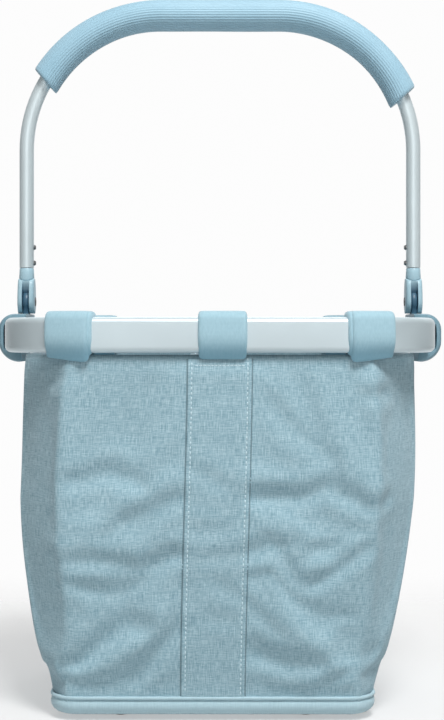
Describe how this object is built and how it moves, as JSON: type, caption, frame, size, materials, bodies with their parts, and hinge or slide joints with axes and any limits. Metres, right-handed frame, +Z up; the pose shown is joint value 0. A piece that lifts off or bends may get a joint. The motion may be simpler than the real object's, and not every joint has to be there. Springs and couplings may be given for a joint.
{
  "type": "handlebar basket",
  "caption": "Soft handlebar basket: a fabric bag hung by webbing loops from an oval-tube aluminium rim, with a hinged bow handle, foam grip and a rear adapter plate.",
  "frame": {"origin": "on the floor under the middle of the whole basket, at the soles of the feet", "axes": "+X to the right seen from the front, +Y to the back where the adapter is, +Z up"},
  "size_m": [0.363, 0.2776, 0.571],
  "materials": {
    "anodised_aluminium": "satin anodised tube",
    "blue_plastic": "moulded, satin",
    "hinge_plastic": "moulded, satin",
    "foam_grip": "ribbed closed-cell foam",
    "blue_webbing": "woven polyester webbing",
    "melange_cloth": "two-tone woven polyester",
    "base_trim": "woven binding and piping",
    "stiffener_board": "plain sheet",
    "black_plastic": "moulded, fine grain",
    "steel": "zinc plated"
  },
  "bodies": {
    "basket": {"rim_tube": "anodised_aluminium", "rim_joiner": "anodised_aluminium", "hinge_block_left": "hinge_plastic", "hinge_block_right": "hinge_plastic", "rim_loop_front_left": "blue_webbing", "rim_loop_front_centre": "blue_webbing", "rim_loop_front_right": "blue_webbing", "rim_loop_back_left": "blue_webbing", "rim_loop_back_centre": "blue_webbing", "rim_loop_back_right": "blue_webbing", "bag_front_panel": "melange_cloth", "bag_back_panel": "melange_cloth", "bag_left_panel": "melange_cloth", "bag_right_panel": "melange_cloth", "base_panel": "melange_cloth", "front_band": "melange_cloth", "back_band": "melange_cloth", "base_band": "base_trim", "base_piping": "base_trim", "base_board": "stiffener_board", "adapter_plate": "black_plastic", "backing_plate": "black_plastic", "foot_front_left": "black_plastic", "foot_front_right": "black_plastic", "foot_back_left": "black_plastic", "foot_back_right": "black_plastic", "hinge_block_screw_left_front": "steel", "hinge_block_screw_left_back": "steel", "hinge_block_screw_right_front": "steel", "hinge_block_screw_right_back": "steel", "adapter_screw_upper_left": "steel", "adapter_screw_upper_right": "steel", "adapter_screw_lower_left": "steel", "adapter_screw_lower_right": "steel", "adapter_nut_upper_left": "steel", "adapter_nut_upper_right": "steel", "adapter_nut_lower_left": "steel", "adapter_nut_lower_right": "steel"},
    "handle": {"handle_tube": "anodised_aluminium", "handle_grip": "foam_grip", "fork_left": "blue_plastic", "fork_right": "blue_plastic", "pivot_pin_left": "steel", "pivot_pin_right": "steel", "tube_rivet_left_lower": "steel", "tube_rivet_left_upper": "steel", "tube_rivet_right_lower": "steel", "tube_rivet_right_upper": "steel"}
  },
  "joints": [
    {"name": "handle_hinge", "type": "hinge", "parent": "basket", "child": "handle", "pos_m": [0, -0.00398, 0.31975], "axis": [1, 0, 0], "range_deg": [-94, 94]}
  ]
}
